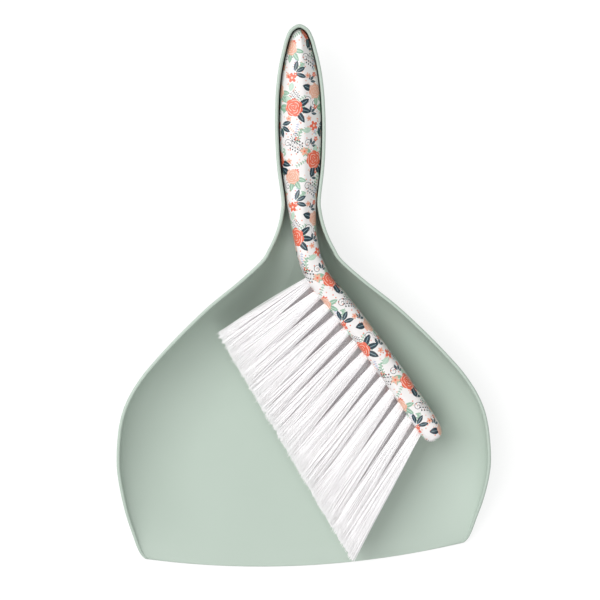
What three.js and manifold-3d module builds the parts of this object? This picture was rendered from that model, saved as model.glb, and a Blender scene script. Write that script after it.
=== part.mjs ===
// Dust pan with a hand brush that nests in it. Millimetres, +Z up, +Y towards the handle's end.
// The origin is under the middle of the pan's length and width, on the table.
// The pan is one shell: a bowl with a curved wall, and a trough-shaped handle that holds the brush's grip.
// The brush lies on its side in the pan. Its tufts sit in blind holes of the head, each held by a flat wire.

import * as THREE from 'three';
import { mergeVertices } from 'three/addons/utils/BufferGeometryUtils.js';
import Module from 'manifold-3d';

const wasm = await Module();
wasm.setup();

// Pan
const panLength = 330;
const panWidth = 228;
const handleLength = 143;
const lipCornerInset = 16.5;
const lipBow = 9;
const lipSkew = 4;
const lipFadeRun = 59;
const lipThickness = 1.2;
const lipTaper = 12;
const floorThickness = 2.1;
const rimWidth = 2.1;
const throatWidth = 49.4;
const wallRun = 60;
const endRun = 8;
const rimAboveBrush = 7;
const rimFullness = 0.75;
const bowlPower = 2;
const troughPower = 4;
const rampStart = 42;
const rampEnd = 36;

// Brush body
const gripWidth = 25.4;
const gripDepth = 21;
const neckWidth = 14.4;
const headThickness = 14;
const headDepth = 23;
const crestShift = 0.22;
const gripPower = 2.4;
const headPower = 3.4;
const brushTilt = THREE.MathUtils.degToRad(4);
const waistFromThroat = 36.5;
const heelX = 8.8;
const heelFromThroat = 9.5;
const toeFromSide = 33;
const toeFromLip = 77;
const headBulge = 2.2;

// Bristles and their anchors
const upperTufts = 13;
const tuftDiameter = 5.4;
const rowSpacing = 10;
const holeDepth = 8;
const firstRoot = 0;
const lastRoot = 0.91;
const fanStartFromSide = 64;
const fanStartFromHeel = 35.6;
const fanEndX = 28;
const fanEndFromLip = 6;
const bristleDepth = 25;
const tipPower = 3.3;
const wireThickness = 0.5;
const wireWidth = 1.6;
const wireBite = 1;

// Clearances
const seatGap = 0.6;
const gap = 0.3;

// Corners closer than this are one corner.
const sameCorner = 1e-4;

// Places that follow from the sizes
const endY = panLength / 2;
const throatY = endY - handleLength;
const lipWidth = panWidth - 2 * lipCornerInset;
const lipY = -panLength / 2 + lipBow + lipSkew ** 2 / (4 * lipBow);
const bowlLength = throatY - lipY;
const waistY = throatY + waistFromThroat;
const brushEndY = endY - rimWidth - seatGap;
const fanEndY = -panLength / 2 + fanEndFromLip;
const brushRestZ = floorThickness + gap + bristleDepth / 2 - fanEndY * Math.tan(brushTilt);

// Finishes
const sagePlastic = new THREE.MeshStandardMaterial({ color: 0xc2cfc5, roughness: 0.45, metalness: 0 });
const printedPlastic = new THREE.MeshStandardMaterial({ color: 0xf3efe9, roughness: 0.3, metalness: 0 });
const whiteFilament = new THREE.MeshStandardMaterial({ color: 0xf7f5f6, roughness: 0.6, metalness: 0 });
const flatWire = new THREE.MeshStandardMaterial({ color: 0xb8b9bb, roughness: 0.35, metalness: 1 });

// Width of the grip as a share of its widest, against the distance from its end.
const gripShape = [
  [2, 0.27],
  [7, 0.47],
  [14, 0.62],
  [21, 0.75],
  [30, 0.87],
  [42, 0.96],
  [58, 1],
  [74, 0.97],
  [86, 0.9],
  [96, 0.8],
];
const waistShare = 0.73;

// The neck's stations: share of the way out to the heel, distance past the throat, width as a share of
// the neck's, and how much of the grip's section is left.
const neckShape = [
  [0.02, 36.5, (waistShare * gripWidth) / neckWidth, 0.8],
  [0.1, 27, 1.13, 0.6],
  [0.21, 17, 1.03, 0.4],
  [0.43, 6, 1, 0.2],
  [0.72, -2.5, 1, 0.1],
];

// Thickness of the head as a share of its fullest, against the share of the way from heel to toe.
const headShape = [
  [0.03, 1],
  [0.14, 1],
  [0.28, 1],
  [0.42, 1],
  [0.56, 1],
  [0.7, 1],
  [0.84, 1],
  [0.93, 0.97],
  [0.97, 0.83],
  [0.99, 0.56],
  [1, 0],
];

// The bowl's side as shares of its half width and of its length, from the lip corner to the throat.
const bowlShape = [
  [0.878, 0.012],
  [0.898, 0.035],
  [0.917, 0.068],
  [0.96, 0.15],
  [0.992, 0.25],
  [1, 0.33],
  [0.984, 0.438],
  [0.944, 0.52],
  [0.867, 0.602],
  [0.757, 0.684],
  [0.631, 0.767],
  [0.494, 0.849],
  [0.335, 0.931],
];

function smooth(t) {
  const s = THREE.MathUtils.clamp(t, 0, 1);
  return s * s * (3 - 2 * s);
}

// Height of the brush's middle plane over the table.
function brushMiddle(y) {
  return brushRestZ + y * Math.tan(brushTilt);
}

// 0 over the bowl, 1 along the handle.
function handleShare(y) {
  const start = throatY - rampStart;
  return smooth((y - start) / (throatY + rampEnd - start));
}

// Top of the floor: tapered at the lip, flat in the bowl, then a ramp up to the trough under the grip.
function floorHeight(y) {
  const lip = smooth((y - lipY) / lipTaper);
  const bowl = lipThickness + (floorThickness - lipThickness) * lip;
  const trough = brushMiddle(y) - gripDepth / 2 / Math.cos(brushTilt) - seatGap;
  return THREE.MathUtils.lerp(bowl, trough, handleShare(y));
}

// The rim rises from the lip as a quarter sine and runs on parallel to the grip.
function rimHeight(y) {
  if (y >= throatY) {
    return brushMiddle(y) + rimAboveBrush;
  }
  const along = Math.max(0, (y - lipY) / bowlLength) ** rimFullness;
  const rise = brushMiddle(throatY) + rimAboveBrush - lipThickness;
  return lipThickness + rise * Math.sin((Math.PI / 2) * along);
}

// The grip's outline moved outwards by the seat's gap and the rim, from its widest parts to its end.
function aroundGrip() {
  const grip = [[0, 0], ...gripShape];
  const points = grip.map(([fromEnd, share]) => [(share * gripWidth) / 2, brushEndY - fromEnd]);
  points.unshift([-points[1][0], points[1][1]]);
  const moved = points.slice(1, -1).map(([x, y], i) => {
    const dx = points[i][0] - points[i + 2][0];
    const dy = points[i][1] - points[i + 2][1];
    const away = (seatGap + rimWidth) / Math.hypot(dx, dy);
    return [x + dy * away, y - dx * away];
  });
  return moved.reverse();
}

// The pan's right-hand outline from the lip corner to the handle's end, and one point past it.
function panOutline() {
  const points = [[lipWidth / 2, lipY]];
  for (const [across, along] of bowlShape) {
    points.push([(across * panWidth) / 2, lipY + along * bowlLength]);
  }
  const waist = (waistShare * gripWidth) / 2 + seatGap + rimWidth;
  const flareSteps = 5;
  for (let i = 0; i <= flareSteps; i += 1) {
    const share = 1 - i / flareSteps;
    points.push([waist + (throatWidth / 2 - waist) * share ** 2, waistY - waistFromThroat * share]);
  }
  points.push(...aroundGrip());
  const [x, y] = points.at(-2);
  points.push([-x, y]);
  return new THREE.CatmullRomCurve3(points.map(([x, y]) => new THREE.Vector3(x, y, 0)), false, 'catmullrom');
}

// The lip bows forward in the middle and runs a little out of square; both fade out up the bowl.
function withLip(x, y, z) {
  const fade = 1 - smooth((y - lipY) / lipFadeRun);
  const across = (2 * x) / lipWidth;
  return new THREE.Vector3(x, y + (lipSkew * across - lipBow * (1 - across ** 2)) * fade, z);
}

// One station across the pan, right rim to left rim. The wall's section is a quarter of a superellipse
// from its foot on the floor to the rim. inset and drop give the inner face or the outer one.
function panStation(rim, outward, inset, drop) {
  const wallSteps = 7;
  const floorSteps = 4;
  const run = Math.max(endRun, wallRun * (1 - Math.exp(-rim.x / wallRun)));
  const footX = Math.max(0, rim.x - run * outward.x);
  const footY = rim.y - run * outward.y;
  const top = rimHeight(rim.y);
  const foot = Math.max(0, floorHeight(footY) - drop);
  const power = 2 / THREE.MathUtils.lerp(bowlPower, troughPower, handleShare(footY));
  const reach = rim.clone().addScaledVector(outward, -inset);
  const half = [];
  for (let j = 0; j <= wallSteps; j += 1) {
    const angle = (Math.PI / 2) * (1 - j / wallSteps);
    const out = Math.sin(angle) ** power;
    const up = 1 - Math.cos(angle) ** power;
    const x = THREE.MathUtils.lerp(footX, reach.x, out);
    half.push([x, THREE.MathUtils.lerp(footY, reach.y, out), THREE.MathUtils.lerp(foot, top, up)]);
  }
  const floor = [];
  for (let j = 1; j < floorSteps; j += 1) {
    floor.push([footX * (1 - (2 * j) / floorSteps), footY, foot]);
  }
  const left = half.toReversed().map(([x, y, z]) => [-x, y, z]);
  return [...half, ...floor, ...left].map(([x, y, z]) => withLip(x, y, z));
}

// Triangles from rows of points, without those that a pole or a closed seam leaves empty.
function meshFrom(triangles) {
  const corners = triangles.filter(([a, b, c]) => !a.equals(b) && !b.equals(c) && !c.equals(a)).flat();
  const geometry = new THREE.BufferGeometry().setFromPoints(corners);
  return mergeVertices(geometry, sameCorner);
}

function addQuad(triangles, a, b, c, d) {
  triangles.push([a, b, c], [a, c, d]);
}

function panGeometry() {
  const outline = panOutline();
  const perPoint = 2;
  const last = (outline.points.length - 2) * perPoint;
  const inner = [];
  const outer = [];
  for (let i = 0; i <= last; i += 1) {
    const u = i / perPoint / (outline.points.length - 1);
    const rim = outline.getPoint(u);
    const along = outline.getTangent(u);
    const outward = new THREE.Vector3(Math.max(0, along.y), Math.max(0, -along.x), 0).normalize();
    if (i === last) {
      rim.x = 0;
      outward.set(0, 1, 0);
    }
    inner.push(panStation(rim, outward, rimWidth, 0));
    outer.push(panStation(rim, outward, 0, floorThickness));
  }
  const triangles = [];
  const edge = inner[0].length - 1;
  for (let i = 0; i < last; i += 1) {
    for (let j = 0; j < edge; j += 1) {
      addQuad(triangles, inner[i][j], inner[i + 1][j], inner[i + 1][j + 1], inner[i][j + 1]);
      addQuad(triangles, outer[i][j], outer[i][j + 1], outer[i + 1][j + 1], outer[i + 1][j]);
    }
    addQuad(triangles, outer[i][0], outer[i + 1][0], inner[i + 1][0], inner[i][0]);
    addQuad(triangles, inner[i][edge], inner[i + 1][edge], outer[i + 1][edge], outer[i][edge]);
  }
  for (let j = 0; j < edge; j += 1) {
    addQuad(triangles, outer[0][j], inner[0][j], inner[0][j + 1], outer[0][j + 1]);
  }
  return meshFrom(triangles);
}

// A closed skin over rings of points; an end ring that is not a single point gets a flat cap.
function loft(rings) {
  const triangles = [];
  const count = rings[0].length;
  for (let i = 0; i + 1 < rings.length; i += 1) {
    for (let j = 0; j < count; j += 1) {
      const k = (j + 1) % count;
      addQuad(triangles, rings[i][j], rings[i][k], rings[i + 1][k], rings[i + 1][j]);
    }
  }
  const end = rings.length - 1;
  for (let j = 1; j + 1 < count; j += 1) {
    triangles.push([rings[0][0], rings[0][j + 1], rings[0][j]]);
    triangles.push([rings[end][0], rings[end][j], rings[end][j + 1]]);
  }
  return meshFrom(triangles);
}

// The brush is laid out in its own flat plane, which the tilt shortens in plan.
const planStretch = 1 / Math.cos(brushTilt);
const heel = new THREE.Vector3(heelX, (throatY - heelFromThroat) * planStretch, 0);
const toe = new THREE.Vector3(panWidth / 2 - toeFromSide, (-panLength / 2 + toeFromLip) * planStretch, 0);
const headDirection = toe.clone().sub(heel).normalize();
const headBack = new THREE.Vector3(-headDirection.y, headDirection.x, 0);
const fanStart = new THREE.Vector3(fanStartFromSide - panWidth / 2, heel.y - fanStartFromHeel, 0);
const fanEnd = new THREE.Vector3(fanEndX, fanEndY * planStretch, 0);

// A point on the middle line of the head, from the heel at 0 to the toe at 1.
function headPoint(share) {
  const bulge = headBulge * 4 * share * (1 - share);
  return heel.clone().lerp(toe, share).addScaledVector(headBack, bulge);
}

// Stations of the brush body from the grip's end to the toe: middle, half width in the plane, half depth
// across it, the section's power, and how far its crest stands off the middle.
function bodyStations() {
  const stations = [[0, 0], ...gripShape].map(([fromEnd, share]) => ({
    at: new THREE.Vector3(0, (brushEndY - fromEnd) * planStretch, 0),
    half: (share * gripWidth) / 2,
    depth: (gripDepth / 2) * Math.sqrt(share),
    power: gripPower,
    crest: crestShift,
  }));
  for (const [across, fromThroat, share, crest] of neckShape) {
    stations.push({
      at: new THREE.Vector3(across * heelX, (throatY + fromThroat) * planStretch, 0),
      half: (share * neckWidth) / 2,
      depth: THREE.MathUtils.lerp(headDepth, gripDepth, crest) / 2,
      power: THREE.MathUtils.lerp(headPower, gripPower, crest),
      crest: crestShift * crest,
    });
  }
  for (const [share, size] of headShape) {
    stations.push({
      at: headPoint(share),
      half: (size * headThickness) / 2,
      depth: (headDepth / 2) * Math.sqrt(size),
      power: headPower,
      crest: 0,
    });
  }
  return stations;
}

// Points around a superellipse of half size 1: a circle at power 2, squarer above it.
function superellipse(sides, power) {
  const rounded = (value) => Math.sign(value) * Math.abs(value) ** (2 / power);
  const points = [];
  for (let j = 0; j < sides; j += 1) {
    const angle = (2 * Math.PI * j) / sides;
    points.push([rounded(Math.cos(angle)), rounded(Math.sin(angle))]);
  }
  return points;
}

// One ring of the body across the local direction, its upper crest moved sideways.
function bodyRing(station, across) {
  const sides = 20;
  return superellipse(sides, station.power).map(([side, up]) => {
    const lean = station.crest * Math.max(0, up) ** 2;
    const point = station.at.clone().addScaledVector(across, station.half * (side + lean));
    return point.setZ(station.depth * up);
  });
}

function bodyGeometry() {
  const stations = bodyStations();
  const rings = stations.map((station, i) => {
    const before = stations[Math.max(0, i - 1)].at;
    const after = stations[Math.min(stations.length - 1, i + 1)].at;
    const along = after.clone().sub(before).normalize();
    return bodyRing(station, new THREE.Vector3(-along.y, along.x, 0));
  });
  return loft(rings);
}

// Where each tuft stands: its root on the head's face, its tip, and axes with z along the tuft.
function tuftPlaces(row, count) {
  const side = row === 'upper' ? 1 : -1;
  const offset = row === 'upper' ? 0.5 : 1;
  const places = [];
  for (let i = 0; i < count; i += 1) {
    const share = (i + offset - 0.5) / (upperTufts - 1);
    const root = headPoint(THREE.MathUtils.lerp(firstRoot, lastRoot, share));
    root.addScaledVector(headBack, -headThickness / 2).setZ((side * rowSpacing) / 2);
    const tip = fanStart.clone().lerp(fanEnd, (i + offset) / upperTufts);
    tip.setZ((side * (bristleDepth + gap)) / 4);
    const along = tip.clone().sub(root).normalize();
    const across = new THREE.Vector3(-along.y, along.x, 0).normalize();
    const up = along.clone().cross(across);
    const frame = new THREE.Matrix4().makeBasis(across, up, along).setPosition(root);
    places.push({ name: `${row}_${String(i + 1).padStart(2, '0')}`, root, tip, frame });
  }
  return places;
}

const tuftSides = 12;

// A tuft is round in its hole and spreads to a rounded block at the straight-trimmed tips.
function tuftGeometry(place) {
  const tipLine = fanEnd.clone().sub(fanStart);
  const halfAcross = (tipLine.length() / upperTufts - gap) / 2;
  const halfUp = (bristleDepth - gap) / 4;
  const tipAcross = tipLine.normalize();
  const circle = superellipse(tuftSides, 2);
  const shank = [gap - holeDepth, 0].map((depth) => circle.map(([x, y]) => {
    const point = new THREE.Vector3(x * tuftDiameter / 2, y * tuftDiameter / 2, depth);
    return point.applyMatrix4(place.frame);
  }));
  const tip = superellipse(tuftSides, tipPower).map(([x, y]) => {
    const point = place.tip.clone().addScaledVector(tipAcross, halfAcross * x);
    return point.setZ(point.z + halfUp * y);
  });
  return loft([...shank, tip]);
}

function toSolid(geometry) {
  const bare = geometry.clone();
  bare.deleteAttribute('normal');
  bare.deleteAttribute('uv');
  const merged = mergeVertices(bare, sameCorner);
  return new wasm.Manifold(new wasm.Mesh({
    numProp: 3,
    vertProperties: new Float32Array(merged.attributes.position.array),
    triVerts: new Uint32Array(merged.index.array),
  }));
}

function toGeometry(solid) {
  const { vertProperties, triVerts } = solid.getMesh();
  const geometry = new THREE.BufferGeometry();
  geometry.setAttribute('position', new THREE.BufferAttribute(vertProperties, 3));
  geometry.setIndex(new THREE.BufferAttribute(triVerts, 1));
  return geometry;
}

// The wire lies across its hole and reaches past both walls by its bite. The slot around it opens half
// a gap below the tuft's end, so that the tuft straddles the wire.
const wireDepth = -holeDepth + 1.5 * gap + wireWidth / 2;
const wireLength = tuftDiameter + 2 * gap + 2 * wireBite;

function wireGeometry(place, clearance) {
  const box = new THREE.BoxGeometry(
    wireThickness + 2 * clearance,
    wireLength + 2 * clearance,
    wireWidth + 2 * clearance,
  );
  return box.translate(0, 0, wireDepth).applyMatrix4(place.frame);
}

// A blind hole, with a gap round the tuft, made by a cutter that stands clear of the curved face.
function holeGeometry(place) {
  const past = 4;
  const radius = tuftDiameter / 2 + gap;
  const hole = new THREE.CylinderGeometry(radius, radius, holeDepth + past, tuftSides);
  hole.rotateX(Math.PI / 2).translate(0, 0, (past - holeDepth) / 2);
  return hole.applyMatrix4(place.frame);
}

function addMesh(group, name, geometry, material) {
  const mesh = new THREE.Mesh(geometry, material);
  mesh.name = name;
  group.add(mesh);
}

const places = [...tuftPlaces('upper', upperTufts), ...tuftPlaces('lower', upperTufts - 1)];

const brush = new THREE.Group();
brush.position.z = brushRestZ;
brush.rotation.x = brushTilt;

let body = toSolid(bodyGeometry());
for (const place of places) {
  body = body.subtract(toSolid(holeGeometry(place)));
  body = body.subtract(toSolid(wireGeometry(place, gap)));
}
addMesh(brush, 'brush_body', toGeometry(body), printedPlastic);

for (const place of places) {
  const fork = toSolid(tuftGeometry(place)).subtract(toSolid(wireGeometry(place, gap)));
  addMesh(brush, `tuft_${place.name}`, toGeometry(fork), whiteFilament);
  addMesh(brush, `anchor_${place.name}`, wireGeometry(place, 0), flatWire);
}

const set = new THREE.Group();
addMesh(set, 'dust_pan', panGeometry(), sagePlastic);
set.add(brush);

export default set;
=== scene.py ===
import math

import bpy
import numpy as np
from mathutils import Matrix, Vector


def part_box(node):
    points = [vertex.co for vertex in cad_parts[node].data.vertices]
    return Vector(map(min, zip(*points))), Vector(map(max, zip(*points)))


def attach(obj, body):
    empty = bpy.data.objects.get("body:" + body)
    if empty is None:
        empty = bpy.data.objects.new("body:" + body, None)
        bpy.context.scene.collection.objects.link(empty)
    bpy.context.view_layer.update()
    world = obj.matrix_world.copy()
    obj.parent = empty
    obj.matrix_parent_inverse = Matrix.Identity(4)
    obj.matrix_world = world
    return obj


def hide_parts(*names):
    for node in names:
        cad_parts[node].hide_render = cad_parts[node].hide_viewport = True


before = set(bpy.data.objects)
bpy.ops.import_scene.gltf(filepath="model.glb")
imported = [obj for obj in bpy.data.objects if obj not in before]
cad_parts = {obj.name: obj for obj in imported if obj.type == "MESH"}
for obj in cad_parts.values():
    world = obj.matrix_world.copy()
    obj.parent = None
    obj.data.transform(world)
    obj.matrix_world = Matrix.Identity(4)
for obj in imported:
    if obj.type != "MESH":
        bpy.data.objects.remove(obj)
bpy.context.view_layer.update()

# Dust pan with a hand brush that lies in it: the looks. Blender units are metres, +Z up, +Y towards the
# handle's end. Sizes below are millimetres unless they are shares or angles, and make_mesh turns them
# into metres.

MM = 0.001
# Points that agree to this many decimals of a millimetre are one point
WELD_DECIMALS = 4

# Pan, with its length and width taken from the frame
pan_low, pan_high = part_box("dust_pan")
PAN_LENGTH = round((pan_high.y - pan_low.y) / MM)
PAN_WIDTH = round((pan_high.x - pan_low.x) / MM)
HANDLE_LENGTH = 143
LIP_CORNER_INSET = 16.5
LIP_BOW = 9
LIP_SKEW = 4
LIP_FADE_RUN = 59
LIP_THICKNESS = 1.2
LIP_TAPER = 12
FLOOR_THICKNESS = 2.1
RIM_WIDTH = 2.1
THROAT_WIDTH = 49.4
WALL_RUN = 60
END_RUN = 8
RIM_ABOVE_BRUSH = 7
RIM_FULLNESS = 0.75
BOWL_POWER = 2
TROUGH_POWER = 4
RAMP_START = 42
RAMP_END = 36
RIM_ROUND = 1
RIM_ROUND_LEAST = 0.3
RIM_ROUND_HEIGHT = 8
LIP_ROUND = 0.6
FLARE_POINTS = 6

# Brush body
GRIP_WIDTH = 25.4
GRIP_DEPTH = 21
NECK_WIDTH = 14.4
HEAD_THICKNESS = 14
HEAD_DEPTH = 23
CREST_SHIFT = 0.22
CREST_FACET = 0.7
GRIP_POWER = 2.4
HEAD_POWER = 3.4
BRUSH_TILT = math.radians(4)
WAIST_FROM_THROAT = 36.5
HEEL_X = 8.8
HEEL_FROM_THROAT = 9.5
TOE_FROM_SIDE = 33
TOE_FROM_LIP = 77
HEAD_BULGE = 2.2
# The smooth body is this much shallower, so that it stays inside the frame's faceted solid
INSIDE = 0.04

# Bristles. The tips of a tuft fill a block whose corners are rounder the nearer BLOCK_POWER is to 1.
UPPER_TUFTS = 13
TUFT_DIAMETER = 5.4
ROW_SPACING = 10
FIRST_ROOT = 0
LAST_ROOT = 0.91
FAN_START_FROM_SIDE = 64
FAN_START_FROM_HEEL = 35.6
FAN_END_X = 28
FAN_END_FROM_LIP = 6
BRISTLE_DEPTH = 25
FILAMENTS = 230
FILAMENT_RADIUS = 0.2
FILAMENT_STEPS = 8
FILAMENT_SIDES = 4
FILAMENT_TAPER = 0.35
TAPER_POWER = 8
BOW = 0.35
ROOT_DEPTH = 5
TIP_DRIFT = 0.7
TIP_OVERLAP = (1.15, 1.5)
BLOCK_POWER = 0.8
BLOCK_SCATTER = 0.06
BLOCK_REACH = 1.08
SPLAY = (0.95, 1.35)
TRIM_SHORT = 0.4
TRIM_SPREAD = 0.8
STRAYS = 0.025
STRAY_REACH = 2.2

# Clearances
SEAT_GAP = 0.6
GAP = 0.3

# How finely the surfaces are drawn: steps in each span of an outline, in a wall, in half the floor, over
# each edge of the rim, and round the brush body
SPAN_STEPS = 9
WALL_STEPS = 26
FLOOR_STEPS = 8
RIM_STEPS = 4
BODY_STEPS = 112

# Places that follow from the sizes
END_Y = PAN_LENGTH / 2
THROAT_Y = END_Y - HANDLE_LENGTH
LIP_WIDTH = PAN_WIDTH - 2 * LIP_CORNER_INSET
LIP_Y = -PAN_LENGTH / 2 + LIP_BOW + LIP_SKEW**2 / (4 * LIP_BOW)
BOWL_LENGTH = THROAT_Y - LIP_Y
WAIST_Y = THROAT_Y + WAIST_FROM_THROAT
BRUSH_END_Y = END_Y - RIM_WIDTH - SEAT_GAP
FAN_END_Y = -PAN_LENGTH / 2 + FAN_END_FROM_LIP
BRUSH_REST_Z = FLOOR_THICKNESS + GAP + BRISTLE_DEPTH / 2 - FAN_END_Y * math.tan(BRUSH_TILT)
PLAN_STRETCH = 1 / math.cos(BRUSH_TILT)

# Width of the grip as a share of its widest, against the distance from its end
GRIP_SHAPE = np.array([
    [0, 0], [2, 0.27], [7, 0.47], [14, 0.62], [21, 0.75], [30, 0.87],
    [42, 0.96], [58, 1], [74, 0.97], [86, 0.9], [96, 0.8],
])
WAIST_SHARE = 0.73

# The neck: share of the way out to the heel, distance past the throat, width as a share of the neck's,
# and how much of the grip's section is left
NECK_SHAPE = np.array([
    [0.02, 36.5, WAIST_SHARE * GRIP_WIDTH / NECK_WIDTH, 0.8],
    [0.1, 27, 1.13, 0.6],
    [0.21, 17, 1.03, 0.4],
    [0.43, 6, 1, 0.2],
    [0.72, -2.5, 1, 0.1],
])

# Thickness of the head as a share of its fullest, against the share of the way from heel to toe
HEAD_SHAPE = np.array([
    [0.03, 1], [0.14, 1], [0.28, 1], [0.42, 1], [0.56, 1], [0.7, 1],
    [0.84, 1], [0.93, 0.97], [0.97, 0.83], [0.99, 0.56], [1, 0],
])

# The bowl's side as shares of its half width and of its length, from the lip corner to the throat
BOWL_SHAPE = np.array([
    [0.878, 0.012], [0.898, 0.035], [0.917, 0.068], [0.96, 0.15], [0.992, 0.25], [1, 0.33], [0.984, 0.438],
    [0.944, 0.52], [0.867, 0.602], [0.757, 0.684], [0.631, 0.767], [0.494, 0.849], [0.335, 0.931],
])


def smooth(t):
    """A step from 0 to 1 with flat ends: 3t^2 - 2t^3."""
    s = np.clip(t, 0, 1)
    return s * s * (3 - 2 * s)


def lerp(a, b, t):
    return a + (b - a) * t


def unit(v):
    return v / np.linalg.norm(v, axis=-1, keepdims=True)


def curve_through(points, steps):
    """A Catmull-Rom spline through every row but the first and last, which only set the slopes at the
    ends. Each span is a cubic whose slope at a point is half the step between that point's neighbours."""
    points = np.asarray(points, float)
    before, start, end, after = points[:-3], points[1:-2], points[2:-1], points[3:]
    t = (np.arange(steps) / steps)[None, :, None]
    slope_a = 0.5 * (end - before)[:, None]
    slope_b = 0.5 * (after - start)[:, None]
    a, b = start[:, None], end[:, None]
    cubic = 2 * a - 2 * b + slope_a + slope_b
    square = -3 * a + 3 * b - 2 * slope_a - slope_b
    samples = a + slope_a * t + square * t**2 + cubic * t**3
    return np.vstack([samples.reshape(-1, points.shape[1]), points[-2]])


def make_mesh(name, points, faces, corner_uv=None):
    """A mesh from points in millimetres and rows of corner numbers. Points that lie together become one,
    and a face that this leaves with fewer than three corners is dropped."""
    points = np.asarray(points, float).reshape(-1, 3)
    rounded = np.round(points, WELD_DECIMALS)
    _, first, same = np.unique(rounded, axis=0, return_index=True, return_inverse=True)
    faces = same.reshape(-1)[faces]
    keep = faces != np.roll(faces, 1, axis=1)
    used = keep.sum(axis=1) > 2
    faces, keep = faces[used], keep[used]
    mesh = bpy.data.meshes.new(name)
    mesh.vertices.add(len(first))
    mesh.vertices.foreach_set("co", (points[first] * MM).astype(np.float32).ravel())
    counts = keep.sum(axis=1)
    mesh.loops.add(int(counts.sum()))
    mesh.loops.foreach_set("vertex_index", faces[keep].astype(np.int32))
    mesh.polygons.add(len(faces))
    mesh.polygons.foreach_set("loop_start", (np.cumsum(counts) - counts).astype(np.int32))
    if corner_uv is not None:
        layer = mesh.uv_layers.new(name="print")
        layer.data.foreach_set("uv", corner_uv[used][keep].astype(np.float32).ravel())
    mesh.update(calc_edges=True)
    mesh.validate()
    mesh.shade_smooth()
    piece = bpy.data.objects.new(name, mesh)
    bpy.context.scene.collection.objects.link(piece)
    return piece


def grid_faces(rows, columns, closed):
    """Corner numbers of the quads of a grid, whose last column joins the first when it is closed."""
    i = np.arange(rows - 1)[:, None]
    j = np.arange(columns if closed else columns - 1)[None, :]
    k = (j + 1) % columns
    corners = [i * columns + j, i * columns + k, (i + 1) * columns + k, (i + 1) * columns + j]
    return np.stack(np.broadcast_arrays(*corners), axis=-1).reshape(-1, 4)


# ---- Pan ----


def brush_middle(y):
    """Height of the brush's middle plane over the table."""
    return BRUSH_REST_Z + y * math.tan(BRUSH_TILT)


def handle_share(y):
    """0 over the bowl, 1 along the handle."""
    start = THROAT_Y - RAMP_START
    return smooth((y - start) / (THROAT_Y + RAMP_END - start))


def floor_height(y):
    """Top of the floor: tapered at the lip, flat in the bowl, then a ramp up to the handle's trough."""
    bowl = lerp(LIP_THICKNESS, FLOOR_THICKNESS, smooth((y - LIP_Y) / LIP_TAPER))
    trough = brush_middle(y) - GRIP_DEPTH / 2 / math.cos(BRUSH_TILT) - SEAT_GAP
    return lerp(bowl, trough, handle_share(y))


def rim_height(y):
    """The rim rises from the lip as a quarter sine and runs on parallel to the grip."""
    along = np.clip((y - LIP_Y) / BOWL_LENGTH, 0, 1) ** RIM_FULLNESS
    rise = brush_middle(THROAT_Y) + RIM_ABOVE_BRUSH - LIP_THICKNESS
    bowl = LIP_THICKNESS + rise * np.sin(np.pi / 2 * along)
    return np.where(y >= THROAT_Y, brush_middle(y) + RIM_ABOVE_BRUSH, bowl)


def around_grip():
    """The grip's outline moved out by the seat's gap and the rim, from its widest part to its end."""
    grip = np.column_stack([GRIP_SHAPE[:, 1] * GRIP_WIDTH / 2, BRUSH_END_Y - GRIP_SHAPE[:, 0]])
    grip = np.vstack([grip[1] * [-1, 1], grip])
    step = unit(grip[:-2] - grip[2:]) * (SEAT_GAP + RIM_WIDTH)
    moved = grip[1:-1] + np.column_stack([step[:, 1], -step[:, 0]])
    return moved[::-1]


def pan_outline():
    """The pan's right-hand outline from the lip corner to the handle's end: a spline through the bowl's
    shares, the throat's parabola and the grip's offset outline, which mirrors past the end."""
    bowl = np.column_stack([BOWL_SHAPE[:, 0] * PAN_WIDTH / 2, LIP_Y + BOWL_SHAPE[:, 1] * BOWL_LENGTH])
    waist = WAIST_SHARE * GRIP_WIDTH / 2 + SEAT_GAP + RIM_WIDTH
    share = np.linspace(1, 0, FLARE_POINTS)
    flare_x = waist + (THROAT_WIDTH / 2 - waist) * share**2
    flare = np.column_stack([flare_x, WAIST_Y - WAIST_FROM_THROAT * share])
    points = np.vstack([[LIP_WIDTH / 2, LIP_Y], bowl, flare, around_grip()])
    first = 2 * points[0] - points[1]
    last = points[-2] * [-1, 1]
    return curve_through(np.vstack([first, points, last]), SPAN_STEPS)


def with_lip(points):
    """The lip bows forward in the middle and runs a little out of square; both fade out up the bowl."""
    fade = 1 - smooth((points[..., 1] - LIP_Y) / LIP_FADE_RUN)
    across = 2 * points[..., 0] / LIP_WIDTH
    moved = points.copy()
    moved[..., 1] += (LIP_SKEW * across - LIP_BOW * (1 - across**2)) * fade
    return moved


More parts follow.
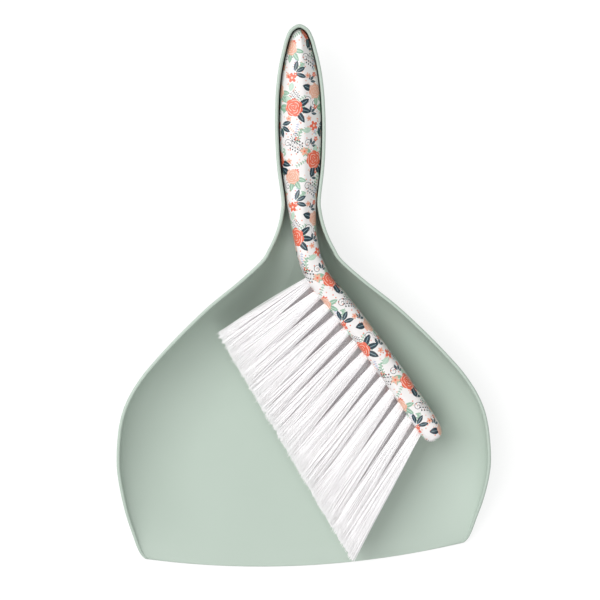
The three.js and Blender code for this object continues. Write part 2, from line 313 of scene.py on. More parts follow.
def wall_face(rim, outward, inset, drop, rounding):
    """Half of one face of the shell at every station, rim first: a quarter of a superellipse from a foot
    on the floor, in to the middle line. inset and drop give the inner face or the outer one. The feet
    never step back towards the lip, so that the last panels at the handle's end don't fold."""
    run = np.maximum(END_RUN, WALL_RUN * (1 - np.exp(-rim[:, 0] / WALL_RUN)))
    foot_x = np.maximum(0, rim[:, 0] - run * outward[:, 0])
    foot_y = np.maximum.accumulate(rim[:, 1] - run * outward[:, 1])
    foot_z = np.maximum(0, floor_height(foot_y) - drop)
    top = np.maximum(foot_z, rim_height(rim[:, 1]) - rounding)
    power = (2 / lerp(BOWL_POWER, TROUGH_POWER, handle_share(foot_y)))[:, None]
    angle = (np.pi / 2 * (1 - np.arange(WALL_STEPS + 1) / WALL_STEPS))[None, :]
    out = np.sin(angle) ** power
    up = 1 - np.cos(angle) ** power
    x = lerp(foot_x[:, None], (rim[:, 0] - inset * outward[:, 0])[:, None], out)
    y = lerp(foot_y[:, None], (rim[:, 1] - inset * outward[:, 1])[:, None], out)
    z = lerp(foot_z[:, None], top[:, None], up)
    share = 1 - np.arange(1, FLOOR_STEPS + 1) / FLOOR_STEPS
    floor = np.broadcast_arrays(foot_x[:, None] * share, foot_y[:, None], foot_z[:, None])
    return np.concatenate([np.stack([x, y, z], axis=-1), np.stack(floor, axis=-1)], axis=1)


def rim_edge(rim, outward, rounding, inset, sign):
    """A quarter circle over one edge of the rim: sign is -1 for the inner edge and 1 for the outer."""
    turn = np.linspace(0, np.pi / 2, RIM_STEPS + 1)[:-1]
    turn = turn if sign < 0 else np.pi / 2 - turn
    centre = rim - (inset + sign * rounding)[:, None] * outward
    reach = sign * np.cos(turn)[None, :] * rounding[:, None]
    plan = centre[:, None, :] + reach[..., None] * outward[:, None, :]
    z = rim_height(rim[:, 1])[:, None] - rounding[:, None] * (1 - np.sin(turn))[None, :]
    return np.concatenate([plan, z[..., None]], axis=-1)


def pan_piece():
    """The pan's shell. Every station is a closed profile that crosses the pan: the inner face, the
    rounded rim, the outer face and the other rim. Within LIP_ROUND of the lip the thickness follows a
    quarter circle to nothing."""
    rim = pan_outline()
    rim[:, 0] = np.minimum(rim[:, 0], PAN_WIDTH / 2)
    along = np.gradient(rim, axis=0)
    outward = unit(np.column_stack([np.maximum(0, along[:, 1]), np.maximum(0, -along[:, 0])]))
    rim[-1, 0] = 0
    outward[-1] = [0, 1]
    rounding = RIM_ROUND * np.clip(rim_height(rim[:, 1]) / RIM_ROUND_HEIGHT, RIM_ROUND_LEAST, 1)
    inner = wall_face(rim, outward, RIM_WIDTH, 0, rounding)
    outer = wall_face(rim, outward, 0, FLOOR_THICKNESS, rounding)
    over = rim_edge(rim, outward, rounding, RIM_WIDTH, -1)
    down = rim_edge(rim, outward, rounding, 0, 1)
    # The lip's own row has no thickness, so its faces share their points there
    inner[0] = outer[0]
    over[0] = outer[0, 0]
    down[0] = outer[0, 0]
    half = np.concatenate([inner[:, ::-1], over[:, 1:], down, outer], axis=1)
    mirrored = half[:, ::-1] * [-1, 1, 1]
    profile = np.concatenate([half, mirrored[:, 1:-1]], axis=1)
    near = np.clip(1 - (rim[:, 1] - LIP_Y) / LIP_ROUND, 0, 1)
    thickness = np.sqrt(1 - near**2)[:, None]
    profile[..., 2] = LIP_THICKNESS / 2 + (profile[..., 2] - LIP_THICKNESS / 2) * thickness
    faces = grid_faces(*profile.shape[:2], closed=True)
    return make_mesh("pan_shell", with_lip(profile), faces)


# ---- Brush ----

HEEL = np.array([HEEL_X, (THROAT_Y - HEEL_FROM_THROAT) * PLAN_STRETCH])
TOE = np.array([PAN_WIDTH / 2 - TOE_FROM_SIDE, (-PAN_LENGTH / 2 + TOE_FROM_LIP) * PLAN_STRETCH])
HEAD_DIRECTION = unit(TOE - HEEL)
HEAD_BACK = np.array([-HEAD_DIRECTION[1], HEAD_DIRECTION[0]])
FAN_START = np.array([FAN_START_FROM_SIDE - PAN_WIDTH / 2, HEEL[1] - FAN_START_FROM_HEEL])
FAN_END = np.array([FAN_END_X, FAN_END_Y * PLAN_STRETCH])


def tilted(points):
    """Points of the brush's own flat plane, turned by the tilt and raised to where the brush lies."""
    x, y, z = np.moveaxis(points, -1, 0)
    cos, sin = math.cos(BRUSH_TILT), math.sin(BRUSH_TILT)
    return np.stack([x, y * cos - z * sin, y * sin + z * cos + BRUSH_REST_Z], axis=-1)


def head_point(share):
    """The middle line of the head, from the heel at 0 to the toe at 1, bowed back by a parabola."""
    share = np.asarray(share, float)[..., None]
    return lerp(HEEL, TOE, share) + HEAD_BACK * HEAD_BULGE * 4 * share * (1 - share)


def body_stations():
    """Rows of x, y, half width, half depth, section power and crest shift, from grip's end to toe."""
    distance, share = GRIP_SHAPE.T
    nothing = np.zeros(len(share))
    grip = np.column_stack([
        nothing,
        (BRUSH_END_Y - distance) * PLAN_STRETCH,
        share * GRIP_WIDTH / 2,
        GRIP_DEPTH / 2 * np.sqrt(share),
        nothing + GRIP_POWER,
        nothing + CREST_SHIFT,
    ])
    out, from_throat, width, left = NECK_SHAPE.T
    neck = np.column_stack([
        out * HEEL_X,
        (THROAT_Y + from_throat) * PLAN_STRETCH,
        width * NECK_WIDTH / 2,
        lerp(HEAD_DEPTH, GRIP_DEPTH, left) / 2,
        lerp(HEAD_POWER, GRIP_POWER, left),
        CREST_SHIFT * left,
    ])
    along, size = HEAD_SHAPE.T
    flat = np.zeros(len(size))
    head = np.column_stack([
        head_point(along),
        size * HEAD_THICKNESS / 2,
        HEAD_DEPTH / 2 * np.sqrt(size),
        flat + HEAD_POWER,
        flat,
    ])
    return np.vstack([grip, neck, head])


def body_piece():
    """The brush body: superellipses carried along the middle line, with the crest moved to one side and a
    facet cut down from it. The ends close because their widths mirror past them, so that they come in
    square."""
    stations = body_stations()
    mirror = [1, 1, -1, -1, 1, 1]
    rows = curve_through(np.vstack([stations[1] * mirror, stations, stations[-2] * mirror]), SPAN_STEPS)
    middle, (half, depth, power, crest) = rows[:, :2], rows[:, 2:].T
    half, depth = np.maximum(half, 0), np.maximum(depth - INSIDE, 0)
    along = unit(np.gradient(middle, axis=0))
    across = np.column_stack([-along[:, 1], along[:, 0]])
    angle = -np.pi / 2 + 2 * np.pi * np.arange(BODY_STEPS + 1) / BODY_STEPS
    power = (2 / power)[:, None]
    side = np.sign(np.cos(angle)) * np.abs(np.cos(angle)) ** power
    up = np.sign(np.sin(angle)) * np.abs(np.sin(angle)) ** power
    top = np.maximum(0, up)
    sideways = side + crest[:, None] * top**2
    past_crest = np.maximum(0, sideways - crest[:, None])
    up = up - CREST_FACET * (crest / CREST_SHIFT)[:, None] * past_crest * top
    flat = middle[:, None, :] + across[:, None, :] * (half[:, None] * sideways)[..., None]
    points = np.concatenate([flat, (depth[:, None] * up)[..., None]], axis=-1)
    run = np.concatenate([[0], np.cumsum(np.linalg.norm(np.diff(middle, axis=0), axis=1))])
    around = np.linalg.norm(np.diff(points, axis=1), axis=-1).cumsum(axis=1)
    around = np.concatenate([np.zeros((len(points), 1)), around], axis=1)
    around -= around[:, [BODY_STEPS // 2]]
    uv = np.stack([np.broadcast_to(run[:, None], around.shape), around], axis=-1)
    faces = grid_faces(*points.shape[:2], closed=False)
    return make_mesh("brush_handle", tilted(points), faces, uv.reshape(-1, 2)[faces])


def tuft_places(row, count):
    """Root and tip of each tuft: roots evenly along the head's front, tips evenly along the straight
    trimmed edge, and the lower row half a step on from the upper one."""
    side, offset = (1, 0.5) if row == "upper" else (-1, 1)
    number = np.arange(count)
    share = (number + offset - 0.5) / (UPPER_TUFTS - 1)
    root = head_point(lerp(FIRST_ROOT, LAST_ROOT, share)) - HEAD_BACK * HEAD_THICKNESS / 2
    root = np.column_stack([root, np.full(count, side * ROW_SPACING / 2)])
    tip = lerp(FAN_START, FAN_END, ((number + offset) / UPPER_TUFTS)[:, None])
    tip = np.column_stack([tip, np.full(count, side * (BRISTLE_DEPTH + GAP) / 4)])
    return root, tip


def tuft_piece(name, root, tip, rng):
    """A bundle of filaments. Each starts at a sunflower point of the round hole and ends at the same
    point of the trim block, and moves from one to the other as a power of the length. On the way it bows
    as half a sine, and it tapers at its end. Ends are cut a little unevenly, and a few filaments stray
    sideways."""
    along = unit(tip - root)
    across = unit(np.array([-along[1], along[0], 0]))
    up = np.cross(along, across)
    tip_across = np.append(unit(FAN_END - FAN_START), 0)
    tip = tip + rng.normal(0, TIP_DRIFT) * tip_across
    number = np.arange(FILAMENTS)
    radius = np.sqrt((number + 0.5) / FILAMENTS)[:, None]
    turn = (number * np.pi * (3 - math.sqrt(5)))[:, None]
    disc = radius * np.hstack([np.cos(turn), np.sin(turn)])
    block = np.sign(disc) * np.abs(disc) ** BLOCK_POWER + rng.normal(0, BLOCK_SCATTER, disc.shape)
    pitch = np.linalg.norm(FAN_END - FAN_START) / UPPER_TUFTS
    half = np.array([pitch / 2 * rng.uniform(*TIP_OVERLAP), (BRISTLE_DEPTH - GAP) / 4])
    block = np.clip(block, -BLOCK_REACH, BLOCK_REACH) * half
    stray = rng.random(FILAMENTS) < STRAYS
    block[:, 0] += stray * rng.normal(0, STRAY_REACH, FILAMENTS)
    at_root = disc * (TUFT_DIAMETER / 2 - FILAMENT_RADIUS) @ np.array([across, up])
    at_tip = block @ np.array([tip_across, [0, 0, 1]])
    start = root - ROOT_DEPTH * along
    t = np.linspace(0, 1, FILAMENT_STEPS)[None, :, None]
    splay = t ** rng.uniform(*SPLAY)
    trim = rng.normal(-TRIM_SHORT, TRIM_SPREAD, (FILAMENTS, 1, 1)) * along * t
    bow = rng.normal(0, BOW, (FILAMENTS, 1, 3)) * np.sin(np.pi * t)
    path = lerp(start, tip, t) + lerp(at_root[:, None], at_tip[:, None], splay) + trim + bow
    thick = FILAMENT_RADIUS * (1 - FILAMENT_TAPER * t[..., 0] ** TAPER_POWER)
    corner = 2 * np.pi / FILAMENT_SIDES * np.arange(FILAMENT_SIDES)
    ring = np.cos(corner)[:, None] * across + np.sin(corner)[:, None] * up
    points = path[:, :, None, :] + thick[:, :, None, None] * ring
    corners = FILAMENT_SIDES * FILAMENT_STEPS
    root_end = np.arange(FILAMENT_SIDES)[::-1]
    tip_end = corners - 1 - root_end
    each = np.vstack([grid_faces(FILAMENT_STEPS, FILAMENT_SIDES, closed=True), root_end, tip_end])
    every = (each + (corners * number)[:, None, None]).reshape(-1, FILAMENT_SIDES)
    return make_mesh(name, tilted(points), every)


# ---- Materials ----


def colour(code):
    """Linear RGBA from an sRGB hex code."""
    parts = [int(code[i:i + 2], 16) / 255 for i in (0, 2, 4)]
    linear = [p / 12.92 if p <= 0.04045 else ((p + 0.055) / 1.055) ** 2.4 for p in parts]
    return (*linear, 1)


def node(tree, kind, links=None, **settings):
    """Adds a node, gives it its settings, and links or sets the inputs that links names or numbers. A
    node given as a link stands for its first output."""
    made = tree.nodes.new(kind)
    for key, value in settings.items():
        setattr(made, key, value)
    for key, value in (links or {}).items():
        if isinstance(value, bpy.types.Node):
            value = value.outputs[0]
        if isinstance(value, bpy.types.NodeSocket):
            tree.links.new(value, made.inputs[key])
        else:
            made.inputs[key].default_value = value
    return made


def new_material(name, **settings):
    """A material with its shader's uniform values set on the shader's own sockets."""
    material = bpy.data.materials.new(name)
    material.use_nodes = True
    shader = material.node_tree.nodes["Principled BSDF"]
    for key, value in settings.items():
        shader.inputs[key.replace("_", " ")].default_value = value
    return material, material.node_tree, shader


def moulded_polypropylene():
    """Injection moulded polypropylene, sage green: satin, with a fine spark-eroded grain."""
    material, tree, shader = new_material("moulded_polypropylene_sage", IOR=1.49, Roughness=0.42)
    place = node(tree, "ShaderNodeTexCoord").outputs["Object"]
    # Flow shading, about 55 mm from one pale patch to the next
    flow = node(tree, "ShaderNodeTexNoise", {"Vector": place, "Scale": 1 / (55 * MM), "Detail": 3.0})
    tone = node(tree, "ShaderNodeMix", {
        "Factor": flow.outputs["Fac"], "A": colour("A9B7AC"), "B": colour("AFBDB2"),
    }, data_type="RGBA")
    tree.links.new(tone.outputs["Result"], shader.inputs["Base Color"])
    # The real grain is about 0.1 mm; at 0.5 mm it just shows.
    grain = node(tree, "ShaderNodeTexNoise", {"Vector": place, "Scale": 1 / (0.5 * MM), "Detail": 2.0})
    bump = node(tree, "ShaderNodeBump", {
        "Height": grain.outputs["Fac"], "Strength": 0.12, "Distance": 0.05 * MM,
    })
    tree.links.new(bump.outputs["Normal"], shader.inputs["Normal"])
    return material


def cut_filament():
    """Extruded polyester filament, white and slightly glossy; each one catches the light a little
    differently. It also glows faintly, which is painted light: the glow lifts the shade in the gaps between
    tufts so that they stay pale."""
    # The emission is painted light, a faint glow that keeps the shaded gaps between the tufts pale
    material, tree, shader = new_material("extruded_polyester_filament", IOR=1.57, Roughness=0.38,
                                          Emission_Strength=0.05)
    shader.inputs["Emission Color"].default_value = colour("FFF4F7")
    place = node(tree, "ShaderNodeTexCoord").outputs["Object"]
    # The tone changes about every 2.5 mm, a few filaments across
    mix = node(tree, "ShaderNodeTexNoise", {"Vector": place, "Scale": 1 / (2.5 * MM), "Detail": 2.0})
    tone = node(tree, "ShaderNodeMix", {
        "Factor": mix.outputs["Fac"], "A": colour("FBFAFB"), "B": colour("FFFFFF"),
    }, data_type="RGBA")
    tree.links.new(tone.outputs["Result"], shader.inputs["Base Color"])
    return material


def drawn_wire():
    """Flattened galvanised wire: grey metal, shinier and duller in fine marks from the drawing."""
    material, tree, shader = new_material("galvanised_flat_wire", Metallic=1.0)
    shader.inputs["Base Color"].default_value = colour("B8B9BB")
    place = node(tree, "ShaderNodeTexCoord").outputs["Object"]
    marks = node(tree, "ShaderNodeTexNoise", {"Vector": place, "Scale": 1 / (0.3 * MM)})
    rough = node(tree, "ShaderNodeMapRange", {"Value": marks.outputs["Fac"], "To Min": 0.25, "To Max": 0.45})
    tree.links.new(rough.outputs["Result"], shader.inputs["Roughness"])
    return material


def backdrop_paper():
    """A matt grey sheet, lit from behind until it is white, so that only a faint shadow falls on it."""
    material, tree, shader = new_material("lit_paper", Roughness=0.9, Emission_Strength=0.74)
    shader.inputs["Base Color"].default_value = colour("8B8B8B")
    shader.inputs["Emission Color"].default_value = (1, 1, 1, 1)
    return material


def motif(name, draw):
    """A node group that turns a place, in shares of the motif's size, into ink and pale line, 0 or 1."""
    tree = bpy.data.node_groups.new(name, "ShaderNodeTree")
    tree.interface.new_socket("Place", in_out="INPUT", socket_type="NodeSocketVector")
    tree.interface.new_socket("Ink", in_out="OUTPUT", socket_type="NodeSocketFloat")
    tree.interface.new_socket("Line", in_out="OUTPUT", socket_type="NodeSocketFloat")
    place = tree.nodes.new("NodeGroupInput").outputs[0]
    split = node(tree, "ShaderNodeSeparateXYZ", {0: place})
    radius = node(tree, "ShaderNodeVectorMath", {0: place}, operation="LENGTH").outputs["Value"]
    turn = node(tree, "ShaderNodeMath", {0: split.outputs["Y"], 1: split.outputs["X"]}, operation="ARCTAN2")
    ink, line = draw(tree, split.outputs["X"], split.outputs["Y"], radius, turn)
    node(tree, "NodeGroupOutput", {0: ink, 1: 0.0 if line is None else line})
    return tree


def draw_rose(tree, x, y, radius, turn):
    """A disc with a scalloped edge. Its petals are told apart by pale rings that waver with the angle and
    are broken in steps round the flower."""
    scallops, scallop_depth = 7, 0.12
    rings_to_edge, half_ring, waves, wave_depth = 3.7, 0.11, 3, 0.24
    break_shift, break_level = 1.9, -0.55
    lobes = node(tree, "ShaderNodeMath", {0: turn, 1: scallops / 2}, operation="MULTIPLY")
    bulge = node(tree, "ShaderNodeMath", {0: lobes}, operation="SINE")
    bulge = node(tree, "ShaderNodeMath", {0: bulge}, operation="ABSOLUTE")
    edge = node(tree, "ShaderNodeMath", {0: bulge, 1: scallop_depth, 2: 1 - scallop_depth},
                operation="MULTIPLY_ADD")
    ink = node(tree, "ShaderNodeMath", {0: radius, 1: edge}, operation="LESS_THAN")
    waver = node(tree, "ShaderNodeMath", {0: turn, 1: waves, 2: radius}, operation="MULTIPLY_ADD")
    waver = node(tree, "ShaderNodeMath", {0: waver}, operation="SINE")
    rings = node(tree, "ShaderNodeMath", {0: radius, 1: rings_to_edge}, operation="MULTIPLY")
    rings = node(tree, "ShaderNodeMath", {0: waver, 1: wave_depth, 2: rings}, operation="MULTIPLY_ADD")
    off_ring = node(tree, "ShaderNodeMath", {0: rings, 1: 0.5, 2: -0.5}, operation="WRAP")
    on_ring = node(tree, "ShaderNodeMath", {0: off_ring, 1: 0.0, 2: half_ring}, operation="COMPARE")
    breaks = node(tree, "ShaderNodeMath", {0: rings}, operation="ROUND")
    breaks = node(tree, "ShaderNodeMath", {0: breaks, 1: break_shift, 2: lobes}, operation="MULTIPLY_ADD")
    breaks = node(tree, "ShaderNodeMath", {0: breaks}, operation="SINE")
    breaks = node(tree, "ShaderNodeMath", {0: breaks, 1: break_level}, operation="GREATER_THAN")
    line = node(tree, "ShaderNodeMath", {0: on_ring, 1: breaks}, operation="MULTIPLY")
    return ink, line


def draw_blossom(tree, x, y, radius, turn):
    """Five round petals, where the edge swings with the cosine of the angle, and a pale eye."""
    petals, petal_length, middle, eye_radius = 5, 0.5, 0.48, 0.24
    swing = node(tree, "ShaderNodeMath", {0: turn, 1: petals / 2}, operation="MULTIPLY")
    swing = node(tree, "ShaderNodeMath", {0: swing}, operation="COSINE")
    swing = node(tree, "ShaderNodeMath", {0: swing}, operation="ABSOLUTE")
    edge = node(tree, "ShaderNodeMath", {0: swing, 1: petal_length, 2: middle}, operation="MULTIPLY_ADD")
    ink = node(tree, "ShaderNodeMath", {0: radius, 1: edge}, operation="LESS_THAN")
    eye = node(tree, "ShaderNodeMath", {0: radius, 1: eye_radius}, operation="LESS_THAN")
    return ink, eye


def draw_leaves(tree, x, y, radius, turn, width=0.17, spread=0.78, most=1.0):
    """Leaves that fan out from the middle: the angle is folded into one sector, where a leaf's half width
    is a parabola along its length, with a pale rib down it."""
    middle, half_length = 0.58, 0.42
    rib_middle, rib_half_length, rib_half_width = 0.45, 0.38, 0.022
    number = node(tree, "ShaderNodeMath", {0: turn, 1: spread}, operation="DIVIDE")
    number = node(tree, "ShaderNodeMath", {0: number}, operation="ROUND")
    number = node(tree, "ShaderNodeClamp", {"Value": number, "Min": -most, "Max": most})
    folded = node(tree, "ShaderNodeMath", {0: number, 1: -spread, 2: turn}, operation="MULTIPLY_ADD")
    along = node(tree, "ShaderNodeMath", {0: folded}, operation="COSINE")
    along = node(tree, "ShaderNodeMath", {0: along, 1: radius}, operation="MULTIPLY")
    aside = node(tree, "ShaderNodeMath", {0: folded}, operation="SINE")
    aside = node(tree, "ShaderNodeMath", {0: aside, 1: radius}, operation="MULTIPLY")
    aside = node(tree, "ShaderNodeMath", {0: aside}, operation="ABSOLUTE")
    from_middle = node(tree, "ShaderNodeMath", {
        0: along, 1: 1 / half_length, 2: -middle / half_length,
    }, operation="MULTIPLY_ADD")
    square = node(tree, "ShaderNodeMath", {0: from_middle, 1: from_middle}, operation="MULTIPLY")
    half = node(tree, "ShaderNodeMath", {0: square, 1: -width, 2: width}, operation="MULTIPLY_ADD")
    blade = node(tree, "ShaderNodeMath", {0: aside, 1: half}, operation="LESS_THAN")
    rib = node(tree, "ShaderNodeMath", {0: aside, 1: rib_half_width}, operation="LESS_THAN")
    within = node(tree, "ShaderNodeMath", {0: along, 1: rib_middle, 2: rib_half_length}, operation="COMPARE")
    rib = node(tree, "ShaderNodeMath", {0: rib, 1: within}, operation="MULTIPLY")
    return blade, rib


def draw_leaf(tree, x, y, radius, turn):
    """One broad leaf."""
    return draw_leaves(tree, x, y, radius, turn, width=0.24, most=0.0)


def draw_sprig(tree, x, y, radius, turn):
    """A thin stem with pairs of slim leaves: its length wraps round one pair, and its sides mirror."""
    half_step, reach, half_stem = 0.18, 0.9, 0.025
    slant_angle, half_length, half_width = math.radians(48), 0.2, 0.075
    beat = node(tree, "ShaderNodeMath", {0: x, 1: half_step, 2: -half_step}, operation="WRAP")
    mirrored = node(tree, "ShaderNodeMath", {0: y}, operation="ABSOLUTE")
    place = node(tree, "ShaderNodeCombineXYZ", {"X": beat, "Y": mirrored})
    slant = node(tree, "ShaderNodeMapping", {"Vector": place, "Rotation": (0, 0, slant_angle)},
                 vector_type="TEXTURE")
    split = node(tree, "ShaderNodeSeparateXYZ", {0: slant})
    from_middle = node(tree, "ShaderNodeMath", {
        0: split.outputs["X"], 1: 1 / half_length, 2: -1.0,
    }, operation="MULTIPLY_ADD")
    square = node(tree, "ShaderNodeMath", {0: from_middle, 1: from_middle}, operation="MULTIPLY")
    half = node(tree, "ShaderNodeMath", {0: square, 1: -half_width, 2: half_width}, operation="MULTIPLY_ADD")
    aside = node(tree, "ShaderNodeMath", {0: split.outputs["Y"]}, operation="ABSOLUTE")
    leaf = node(tree, "ShaderNodeMath", {0: aside, 1: half}, operation="LESS_THAN")
    stem = node(tree, "ShaderNodeMath", {0: mirrored, 1: half_stem}, operation="LESS_THAN")
    either = node(tree, "ShaderNodeMath", {0: leaf, 1: stem}, operation="MAXIMUM")
    within = node(tree, "ShaderNodeMath", {0: x, 1: 0.0, 2: reach}, operation="COMPARE")
    return node(tree, "ShaderNodeMath", {0: either, 1: within}, operation="MULTIPLY"), None


def draw_berries(tree, x, y, radius, turn):
    """Round berries on hair stems: two rows to each side, the outer one half a step on."""
    half_step, berry_radius, half_stem = 0.16, 0.085, 0.014
    mirrored = node(tree, "ShaderNodeMath", {0: y}, operation="ABSOLUTE")
    ink = 0.0
    for shift, height, reach in ((0.0, 0.26, 0.8), (half_step, 0.56, 0.55)):
        moved = node(tree, "ShaderNodeMath", {0: x, 1: shift}, operation="ADD")
        beat = node(tree, "ShaderNodeMath", {0: moved, 1: half_step, 2: -half_step}, operation="WRAP")
        place = node(tree, "ShaderNodeCombineXYZ", {"X": beat, "Y": mirrored})
        away = node(tree, "ShaderNodeVectorMath", {0: place, 1: (0, height, 0)}, operation="DISTANCE")
        berry = node(tree, "ShaderNodeMath", {
            0: away.outputs["Value"], 1: berry_radius,
        }, operation="LESS_THAN")
        stem = node(tree, "ShaderNodeMath", {0: beat, 1: 0.0, 2: half_stem}, operation="COMPARE")
        low = node(tree, "ShaderNodeMath", {0: mirrored, 1: height}, operation="LESS_THAN")
        stem = node(tree, "ShaderNodeMath", {0: stem, 1: low}, operation="MULTIPLY")
        either = node(tree, "ShaderNodeMath", {0: berry, 1: stem}, operation="MAXIMUM")
        within = node(tree, "ShaderNodeMath", {0: x, 1: 0.0, 2: reach}, operation="COMPARE")
        either = node(tree, "ShaderNodeMath", {0: either, 1: within}, operation="MULTIPLY")
        ink = node(tree, "ShaderNodeMath", {0: either, 1: ink}, operation="MAXIMUM")
    return ink, None


def draw_curl(tree, x, y, radius, turn):
    """A tendril: a spiral whose radius grows evenly with the angle."""
    winds, half_line, middle, half_reach = 1.7, 0.085, 0.55, 0.42
    share = node(tree, "ShaderNodeMath", {0: turn, 1: -1 / (2 * math.pi)}, operation="MULTIPLY")
    wind = node(tree, "ShaderNodeMath", {0: radius, 1: winds, 2: share}, operation="MULTIPLY_ADD")
    wind = node(tree, "ShaderNodeMath", {0: wind, 1: 0.5, 2: -0.5}, operation="WRAP")
    line = node(tree, "ShaderNodeMath", {0: wind, 1: 0.0, 2: half_line}, operation="COMPARE")
    within = node(tree, "ShaderNodeMath", {0: radius, 1: middle, 2: half_reach}, operation="COMPARE")
    return node(tree, "ShaderNodeMath", {0: line, 1: within}, operation="MULTIPLY"), None


# The print's inks and its ground
GROUND = "DFDCDB"
CORAL, CORAL_LINE = "D65F43", "E2C3B5"
PEACH, PEACH_LINE = "DAA48D", "E3D2C7"
NAVY, NAVY_LINE = "112C38", "6F8890"
SAGE, SAGE_LINE = "84A991", "BECFC4"
MINT, LILAC, INKY = "AAC4B2", "A6ACC7", "16222D"

# The print repeats along the body and across it. Its main motifs stand in columns, each half a step on.
PRINT_REPEAT = np.array([78, 26])
COLUMNS, ROWS = 2, 4
SITE_SHIFT = 1.6
PRINT_SEED = 5
SPECK_SPACING = 3.1
SPECK_RADIUS = 0.15
SPECK_SHARE = 0.6

# What each kind of site holds, bottom layer first: motif, distance and bearing from the site, size, turn,
# ink and line
MAIN_SITES = (
    (
        ("leaves", 1, 40, 10.5, 40, NAVY, NAVY_LINE),
        ("leaf", 1, 200, 9.5, 205, SAGE, SAGE_LINE),
        ("leaf", 1, 250, 8, 262, MINT, SAGE_LINE),
        ("rose", 0, 0, 5.6, 20, CORAL, CORAL_LINE),
    ),
    (
        ("sprig", 5, 100, 5.2, 100, SAGE, SAGE_LINE),
        ("berries", 1, 280, 5.6, 20, INKY, INKY),
        ("blossom", 6.5, 215, 2.7, 0, PEACH, CORAL),
    ),
    (
        ("leaves", 1, 170, 8.5, 170, SAGE, SAGE_LINE),
        ("leaf", 1, 330, 8.5, 325, NAVY, NAVY_LINE),
        ("rose", 0, 0, 4.7, 60, PEACH, PEACH_LINE),
    ),
    (
        ("leaves", 2.5, 250, 8, 300, NAVY, NAVY_LINE),
        ("leaf", 2, 60, 7, 75, MINT, SAGE_LINE),
        ("blossom", 1, 120, 3.1, 15, CORAL, CORAL_LINE),
    ),
)

# Small motifs that fill the ground: motif, how many times it repeats along and across, place, size, turn,
# ink and line
FILLERS = (
    ("sprig", 4, 2, (3, 2), 4.4, 60, SAGE, SAGE_LINE),
    ("sprig", 3, 2, (9, 8), 3.6, 130, PEACH, PEACH),
    ("sprig", 2, 2, (21, 5), 4, 15, LILAC, LILAC),
    ("curl", 3, 2, (17, 11), 2.8, 40, INKY, INKY),
    ("curl", 2, 1, (6, 19), 3, 200, NAVY, NAVY),
    ("berries", 3, 1, (14, 6), 4, 140, NAVY, NAVY),
    ("leaves", 4, 1, (12, 22), 4.8, 230, NAVY, NAVY_LINE),
    ("leaves", 3, 2, (22, 12), 3.8, 80, SAGE, SAGE_LINE),
    ("blossom", 4, 2, (8, 5), 1.7, 0, CORAL, PEACH_LINE),
    ("blossom", 3, 2, (2, 10), 1.9, 30, PEACH, CORAL),
)


def print_layout():
    """Every motif with its own repeat, bottom layer first: the fillers, then the leaves and stems of the
    main sites, then their flowers. The main ones are moved and turned a little at random, so that the
    columns don't show."""
    rng = np.random.default_rng(PRINT_SEED)
    fillers, stems, flowers = [], [], []
    for kind, along, across, place, size, angle, ink, line in FILLERS:
        repeat = PRINT_REPEAT / (along, across)
        fillers.append((kind, repeat, np.array(place), size, math.radians(angle), ink, line))
    step = PRINT_REPEAT / (ROWS, COLUMNS)
    for column in range(COLUMNS):
        for row in range(ROWS):
            turn = rng.uniform(0, 360)
            centre = step * (row + column / 2, column - 0.5) + rng.uniform(-SITE_SHIFT, SITE_SHIFT, 2)
            site = MAIN_SITES[(row + 2 * column) % len(MAIN_SITES)]
            for kind, distance, bearing, size, angle, ink, line in site:
                way = math.radians(bearing + turn)
                place = centre + distance * np.array([math.cos(way), math.sin(way)])
                layer = flowers if kind == "rose" else stems
                layer.append((kind, PRINT_REPEAT, place, size, math.radians(angle + turn), ink, line))
    return [*fillers, *stems, *flowers]


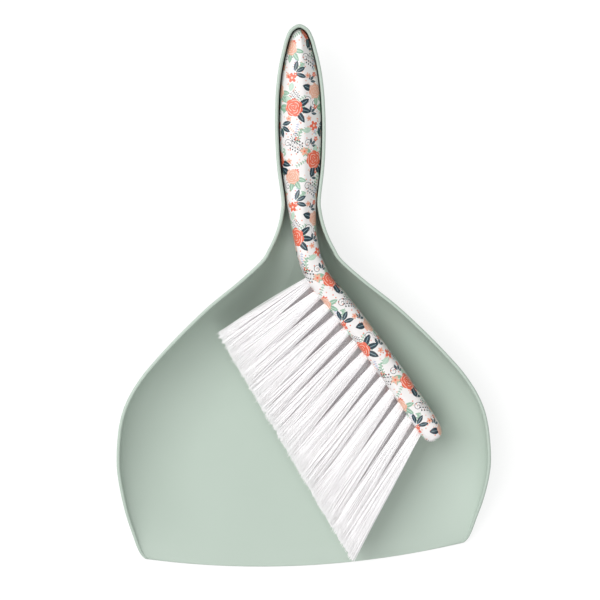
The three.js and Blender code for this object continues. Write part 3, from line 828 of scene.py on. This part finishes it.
def printed_film():
    """Film printed with flowers, moulded onto the body: white ground, flat inks, a clear gloss."""
    material, tree, shader = new_material("printed_film", IOR=1.5, Roughness=0.33, Coat_Weight=0.25)
    place = node(tree, "ShaderNodeUVMap", uv_map="print").outputs["UV"]
    groups = {
        name: motif(name, draw) for name, draw in (
            ("rose", draw_rose), ("blossom", draw_blossom), ("leaves", draw_leaves), ("leaf", draw_leaf),
            ("sprig", draw_sprig), ("berries", draw_berries), ("curl", draw_curl),
        )
    }
    # Specks of blossom on a share of an uneven grid's cells, each with a radius in shares of the spacing
    specks = node(tree, "ShaderNodeTexVoronoi", {"Vector": place, "Scale": 1 / SPECK_SPACING},
                  voronoi_dimensions="2D")
    chance = node(tree, "ShaderNodeSeparateColor", {0: specks.outputs["Color"]})
    near = node(tree, "ShaderNodeMath", {
        0: specks.outputs["Distance"], 1: SPECK_RADIUS,
    }, operation="LESS_THAN")
    chosen = node(tree, "ShaderNodeMath", {0: chance.outputs["Red"], 1: SPECK_SHARE}, operation="LESS_THAN")
    speck = node(tree, "ShaderNodeMath", {0: near, 1: chosen}, operation="MULTIPLY")
    speck_ink = node(tree, "ShaderNodeMix", {
        "Factor": chance.outputs["Green"], "A": colour(CORAL_LINE), "B": colour(CORAL),
    }, data_type="RGBA")
    tone = node(tree, "ShaderNodeMix", {
        "Factor": speck, "A": colour(GROUND), "B": speck_ink.outputs["Result"],
    }, data_type="RGBA").outputs["Result"]
    for kind, repeat, centre, size, angle, ink, line in print_layout():
        low, high = (*(centre - repeat / 2), -1), (*(centre + repeat / 2), 1)
        wrapped = node(tree, "ShaderNodeVectorMath", {0: place, 1: high, 2: low}, operation="WRAP")
        own = node(tree, "ShaderNodeMapping", {
            "Vector": wrapped, "Location": (*centre, 0), "Rotation": (0, 0, angle), "Scale": (size, size, 1),
        }, vector_type="TEXTURE")
        drawn = node(tree, "ShaderNodeGroup", {0: own}, node_tree=groups[kind])
        inked = node(tree, "ShaderNodeMix", {
            "Factor": drawn.outputs["Line"], "A": colour(ink), "B": colour(line),
        }, data_type="RGBA")
        tone = node(tree, "ShaderNodeMix", {
            "Factor": drawn.outputs["Ink"], "A": tone, "B": inked.outputs["Result"],
        }, data_type="RGBA").outputs["Result"]
    tree.links.new(tone, shader.inputs["Base Color"])
    # A moulded body shows a faint orange peel through its film, about 1.5 mm from dimple to dimple.
    solid = node(tree, "ShaderNodeTexCoord").outputs["Object"]
    peel = node(tree, "ShaderNodeTexNoise", {"Vector": solid, "Scale": 1 / (1.5 * MM)})
    bump = node(tree, "ShaderNodeBump", {"Height": peel, "Strength": 0.1, "Distance": 0.05 * MM})
    tree.links.new(bump.outputs["Normal"], shader.inputs["Normal"])
    return material


# ---- Pieces ----

pan = pan_piece()
pan.data.materials.append(moulded_polypropylene())
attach(pan, "pan")
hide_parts("dust_pan")

handle = body_piece()
handle.data.materials.append(printed_film())
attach(handle, "brush")
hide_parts("brush_body")

filament = cut_filament()
for row, count in (("upper", UPPER_TUFTS), ("lower", UPPER_TUFTS - 1)):
    roots, tips = tuft_places(row, count)
    for i in range(count):
        number = f"{row}_{i + 1:02d}"
        rng = np.random.default_rng([i, row == "upper"])
        tuft = tuft_piece(f"bristles_{number}", roots[i], tips[i], rng)
        tuft.data.materials.append(filament)
        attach(tuft, "brush")
        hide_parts(f"tuft_{number}")

wire = drawn_wire()
for name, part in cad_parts.items():
    if name.startswith("anchor_"):
        for material_slot in part.material_slots:
            material_slot.material = wire

# ---- Stage, in metres and watts ----

FLOOR_SIZE = 6
FLOOR_DROP = 0.0005
CAMERA_HEIGHT = 4
# At VIEW_LEVEL, about half the height of the set, the view is VIEW_WIDTH wide round VIEW_CENTRE, both in
# millimetres
VIEW_LEVEL = 0.02
VIEW_WIDTH = 365.4
VIEW_CENTRE = (-1.3, -2.1)
CAMERA_ROLL = math.radians(-0.6)
SEE_TO = 20

bpy.ops.mesh.primitive_plane_add(size=FLOOR_SIZE, location=(0, 0, -FLOOR_DROP))
floor = bpy.context.object
floor.name = "floor"
floor.data.materials.append(backdrop_paper())


def add_area_light(name, position, size, power):
    """A square soft light that faces the middle of the set."""
    lamp = bpy.data.lights.new(name, "AREA")
    lamp.size = size
    lamp.energy = power
    light = bpy.data.objects.new(name, lamp)
    light.location = position
    light.rotation_euler = (-Vector(position)).to_track_quat("-Z", "Y").to_euler()
    bpy.context.scene.collection.objects.link(light)


add_area_light("key", (-1.15, 0.6, 1.65), 2, 39)
add_area_light("fill", (0.1, -1.1, 1.9), 1.5, 13.5)
world = bpy.data.worlds.new("studio")
world.use_nodes = True
world.node_tree.nodes["Background"].inputs["Color"].default_value = (1, 1, 1, 1)
world.node_tree.nodes["Background"].inputs["Strength"].default_value = 0.5
bpy.context.scene.world = world

camera = bpy.data.objects.new("camera", bpy.data.cameras.new("camera"))
camera.location = (VIEW_CENTRE[0] * MM, VIEW_CENTRE[1] * MM, CAMERA_HEIGHT)
camera.rotation_euler = (0, 0, CAMERA_ROLL)
camera.data.lens = camera.data.sensor_width * (CAMERA_HEIGHT - VIEW_LEVEL) / (VIEW_WIDTH * MM)
camera.data.clip_end = SEE_TO
bpy.context.scene.collection.objects.link(camera)
bpy.context.scene.camera = camera
bpy.context.scene.view_settings.view_transform = "Standard"
